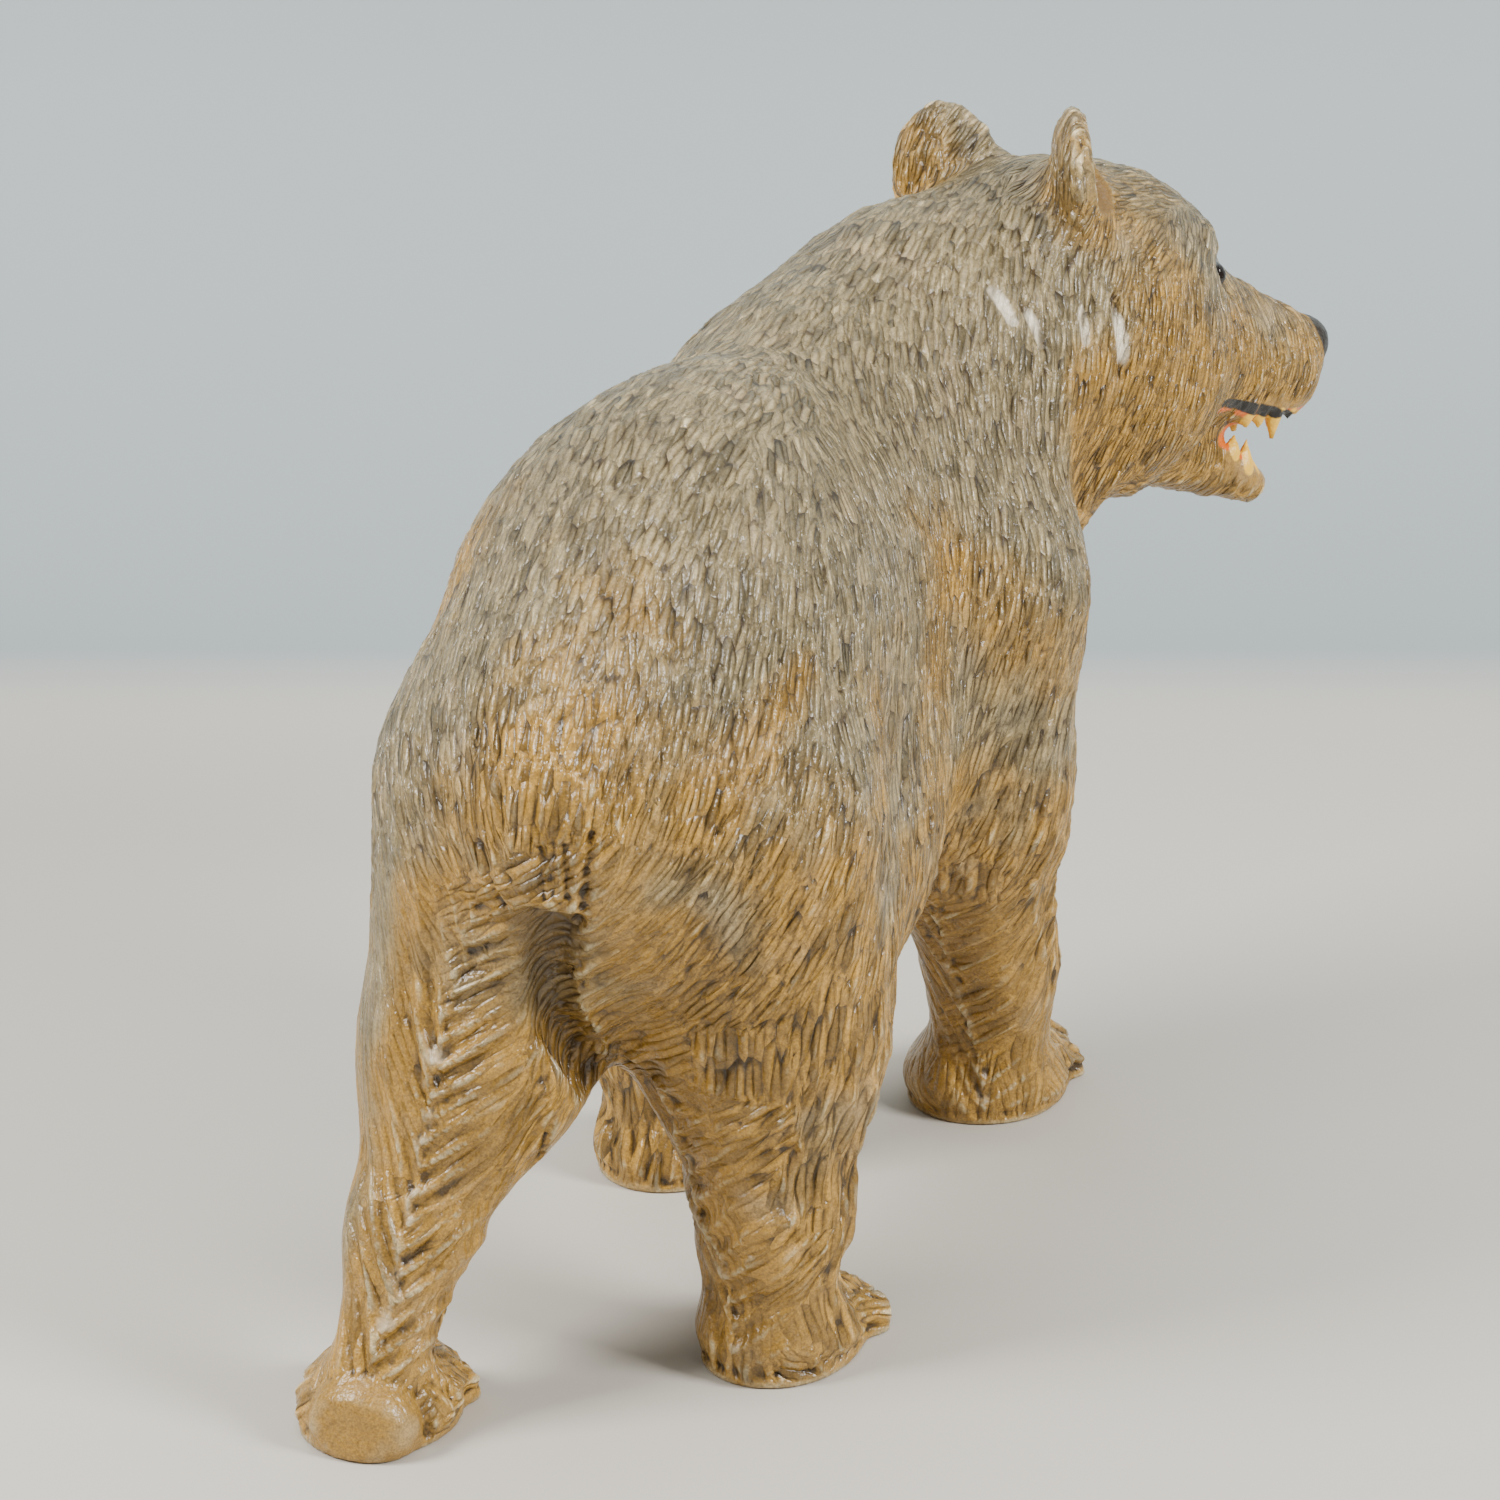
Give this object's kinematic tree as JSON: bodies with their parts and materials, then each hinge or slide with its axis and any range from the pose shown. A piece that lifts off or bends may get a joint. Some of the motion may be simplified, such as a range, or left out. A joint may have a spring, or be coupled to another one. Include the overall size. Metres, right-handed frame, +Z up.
{
  "type": "carved bear figure",
  "caption": "Walking bear carved from wood, gouge-cut fur over the body, head turned to its right with the mouth open; stands on flat-cut paws",
  "frame": {"origin": "on the floor, below the middle of the figure's bounding box", "axes": "+Z up; the bear faces -Y, its tail is towards +Y and its left side is +X"},
  "size_m": [0.1898, 0.42, 0.3159],
  "materials": {
    "carved_wood": "stained satin"
  },
  "bodies": {
    "root": {"bear": "carved_wood"}
  },
  "joints": []
}
